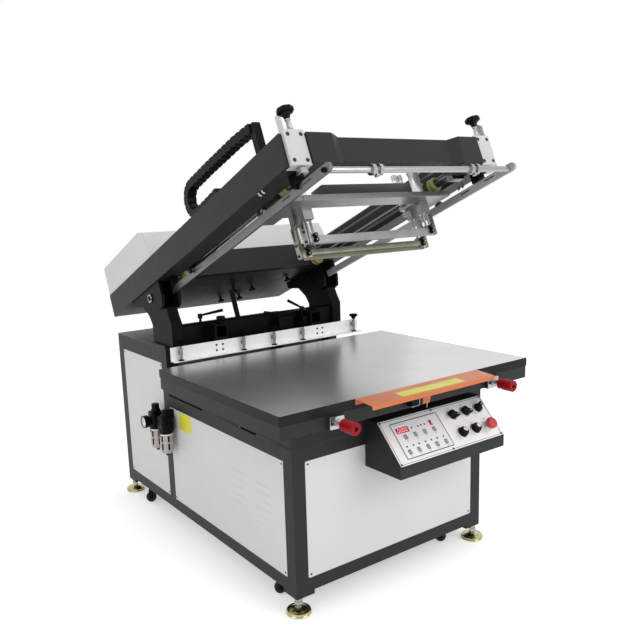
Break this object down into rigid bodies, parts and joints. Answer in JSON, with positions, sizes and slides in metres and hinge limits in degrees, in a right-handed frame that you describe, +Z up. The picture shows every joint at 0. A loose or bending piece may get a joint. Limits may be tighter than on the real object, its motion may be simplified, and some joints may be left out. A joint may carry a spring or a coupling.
{
  "type": "flatbed screen printing machine",
  "caption": "Floor-standing flatbed screen printer: welded base, flat table, tilting print head with a sliding squeegee carriage, register bar and sloping control box.",
  "frame": {"origin": "on the floor under the middle of the bounding box", "axes": "+X to the right seen from the front, -Y to the operator, +Z up"},
  "size_m": [1.222, 1.844, 1.7635],
  "materials": {
    "charcoal_paint": "satin paint",
    "sheet_grey": "satin powder coat",
    "ground_steel": "fine ground and darkened",
    "white_paint": "satin paint",
    "black_cast": "black enamel",
    "black_plastic": "moulded, slight sheen",
    "bright_steel": "ground and polished",
    "aluminium": "milled",
    "zinc": "yellow zinc plated",
    "orange_paint": "satin paint",
    "red_plastic": "moulded",
    "rubber": "moulded tread"
  },
  "bodies": {
    "machine_base": {"base_frame": "charcoal_paint", "front_panel": "sheet_grey", "rear_panel": "sheet_grey", "cabinet_top": "sheet_grey", "table_top": "ground_steel", "table_bed": "charcoal_paint", "table_carrier": "charcoal_paint", "register_bar": "white_paint", "rear_beam": "black_cast", "control_box": "charcoal_paint", "control_panel": "aluminium", "lift_cylinder": "bright_steel", "guard_strip": "orange_paint", "air_unit": "black_plastic", "side_panel_front_left": "sheet_grey", "side_panel_front_right": "sheet_grey", "side_panel_rear_left": "sheet_grey", "side_panel_rear_right": "sheet_grey", "hinge_post_left": "black_cast", "hinge_post_right": "black_cast", "foot_front_left": "zinc", "foot_front_right": "zinc", "foot_rear_left": "zinc", "foot_rear_right": "zinc"},
    "print_head": {"head_frame": "charcoal_paint", "head_hood": "sheet_grey", "front_rod": "bright_steel", "cable_chain": "black_plastic", "pivot_bracket_left": "black_cast", "pivot_bracket_right": "black_cast", "end_block_left": "white_paint", "end_block_right": "white_paint", "screen_arm_left": "aluminium", "screen_arm_right": "aluminium", "guide_shaft_left": "bright_steel", "guide_shaft_right": "bright_steel"},
    "print_carriage": {"carriage": "aluminium"},
    "flood_lift": {"flood_bar": "aluminium"},
    "lift_rod_body": {"lift_rod": "bright_steel"},
    "squeegee_lift": {"squeegee_bar": "aluminium"},
    "height_screw_left_body": {"height_screw_left": "black_plastic"},
    "adjust_knob_left_body": {"adjust_knob_left": "red_plastic"},
    "height_screw_right_body": {"height_screw_right": "black_plastic"},
    "adjust_knob_right_body": {"adjust_knob_right": "red_plastic"},
    "selector_1_body": {"selector_1": "black_plastic"},
    "selector_2_body": {"selector_2": "black_plastic"},
    "selector_3_body": {"selector_3": "black_plastic"},
    "dial_1_body": {"dial_1": "black_plastic"},
    "dial_2_body": {"dial_2": "black_plastic"},
    "stop_button_body": {"stop_button": "red_plastic"},
    "regulator_knob_body": {"regulator_knob": "black_plastic"},
    "caster_fork_front_left_body": {"caster_fork_front_left": "black_plastic"},
    "caster_wheel_front_left_body": {"caster_wheel_front_left": "rubber"},
    "caster_fork_front_right_body": {"caster_fork_front_right": "black_plastic"},
    "caster_wheel_front_right_body": {"caster_wheel_front_right": "rubber"},
    "caster_fork_rear_left_body": {"caster_fork_rear_left": "black_plastic"},
    "caster_wheel_rear_left_body": {"caster_wheel_rear_left": "rubber"},
    "caster_fork_rear_right_body": {"caster_fork_rear_right": "black_plastic"},
    "caster_wheel_rear_right_body": {"caster_wheel_rear_right": "rubber"}
  },
  "joints": [
    {"name": "head_tilt", "type": "hinge", "parent": "machine_base", "child": "print_head", "pos_m": [0, 0.37797, 1.053], "axis": [1, 0, 0], "range_deg": [0, 22.5]},
    {"name": "lift_rod_slide", "type": "slide", "parent": "machine_base", "child": "lift_rod_body", "axis": [0, 0, 1], "range_m": [0, 0.0405]},
    {"name": "carriage_travel", "type": "slide", "parent": "print_head", "child": "print_carriage", "axis": [0, 0.9239, -0.3827], "range_m": [0, 0.62]},
    {"name": "flood_lift", "type": "slide", "parent": "print_carriage", "child": "flood_lift", "axis": [0, -0.3827, -0.9239], "range_m": [0, 0.03]},
    {"name": "squeegee_lift", "type": "slide", "parent": "print_carriage", "child": "squeegee_lift", "axis": [0, -0.3827, -0.9239], "range_m": [0, 0.03]},
    {"name": "height_screw_left_turn", "type": "hinge", "parent": "print_head", "child": "height_screw_left_body", "pos_m": [-0.441, -0.66886, 1.7242], "axis": [0, 0.3827, 0.9239], "continuous": true},
    {"name": "adjust_knob_left_turn", "type": "hinge", "parent": "machine_base", "child": "adjust_knob_left_body", "pos_m": [-0.39, -0.82203, 0.7395], "axis": [0, -1, 0], "continuous": true},
    {"name": "height_screw_right_turn", "type": "hinge", "parent": "print_head", "child": "height_screw_right_body", "pos_m": [0.441, -0.66886, 1.7242], "axis": [0, 0.3827, 0.9239], "continuous": true},
    {"name": "adjust_knob_right_turn", "type": "hinge", "parent": "machine_base", "child": "adjust_knob_right_body", "pos_m": [0.39, -0.82203, 0.7395], "axis": [0, -1, 0], "continuous": true},
    {"name": "selector_1_turn", "type": "hinge", "parent": "machine_base", "child": "selector_1_body", "pos_m": [0.203, -0.78238, 0.63163], "axis": [0, -0.7282, 0.6854], "range_deg": [-45, 45]},
    {"name": "selector_2_turn", "type": "hinge", "parent": "machine_base", "child": "selector_2_body", "pos_m": [0.275, -0.78238, 0.63163], "axis": [0, -0.7282, 0.6854], "range_deg": [-45, 45]},
    {"name": "selector_3_turn", "type": "hinge", "parent": "machine_base", "child": "selector_3_body", "pos_m": [0.347, -0.78238, 0.63163], "axis": [0, -0.7282, 0.6854], "range_deg": [-45, 45]},
    {"name": "dial_1_turn", "type": "hinge", "parent": "machine_base", "child": "dial_1_body", "pos_m": [0.203, -0.83515, 0.57556], "axis": [0, -0.7282, 0.6854], "range_deg": [-135, 135]},
    {"name": "dial_2_turn", "type": "hinge", "parent": "machine_base", "child": "dial_2_body", "pos_m": [0.275, -0.83515, 0.57556], "axis": [0, -0.7282, 0.6854], "range_deg": [-135, 135]},
    {"name": "stop_button_press", "type": "slide", "parent": "machine_base", "child": "stop_button_body", "axis": [0, 0.7282, -0.6854], "range_m": [0, 0.004], "stiffness_N_per_m": 800, "springref_m": -0.004},
    {"name": "regulator_knob_turn", "type": "hinge", "parent": "machine_base", "child": "regulator_knob_body", "pos_m": [-0.524, 0.33097, 0.545], "axis": [0, 0, 1], "continuous": true},
    {"name": "caster_swivel_front_left", "type": "hinge", "parent": "machine_base", "child": "caster_fork_front_left_body", "pos_m": [-0.42, -0.52203, 0.07], "axis": [0, 0, 1], "continuous": true},
    {"name": "caster_spin_front_left", "type": "hinge", "parent": "caster_fork_front_left_body", "child": "caster_wheel_front_left_body", "pos_m": [-0.43879, -0.51519, 0.029], "axis": [0.342, 0.9397, 0], "continuous": true},
    {"name": "caster_swivel_front_right", "type": "hinge", "parent": "machine_base", "child": "caster_fork_front_right_body", "pos_m": [0.335, -0.62203, 0.07], "axis": [0, 0, 1], "continuous": true},
    {"name": "caster_spin_front_right", "type": "hinge", "parent": "caster_fork_front_right_body", "child": "caster_wheel_front_right_body", "pos_m": [0.32816, -0.60324, 0.029], "axis": [0.9397, 0.342, 0], "continuous": true},
    {"name": "caster_swivel_rear_left", "type": "hinge", "parent": "machine_base", "child": "caster_fork_rear_left_body", "pos_m": [-0.45, 0.58797, 0.07], "axis": [0, 0, 1], "continuous": true},
    {"name": "caster_spin_rear_left", "type": "hinge", "parent": "caster_fork_rear_left_body", "child": "caster_wheel_rear_left_body", "pos_m": [-0.46532, 0.60083, 0.029], "axis": [0.6428, 0.766, 0], "continuous": true},
    {"name": "caster_swivel_rear_right", "type": "hinge", "parent": "machine_base", "child": "caster_fork_rear_right_body", "pos_m": [0.44, 0.58797, 0.07], "axis": [0, 0, 1], "continuous": true},
    {"name": "caster_spin_rear_right", "type": "hinge", "parent": "caster_fork_rear_right_body", "child": "caster_wheel_rear_right_body", "pos_m": [0.45732, 0.59797, 0.029], "axis": [0.5, -0.866, 0], "continuous": true}
  ],
  "couplings": [
    {"joint": "lift_rod_slide", "follows": "head_tilt", "m_per_rad": 0.10262}
  ]
}
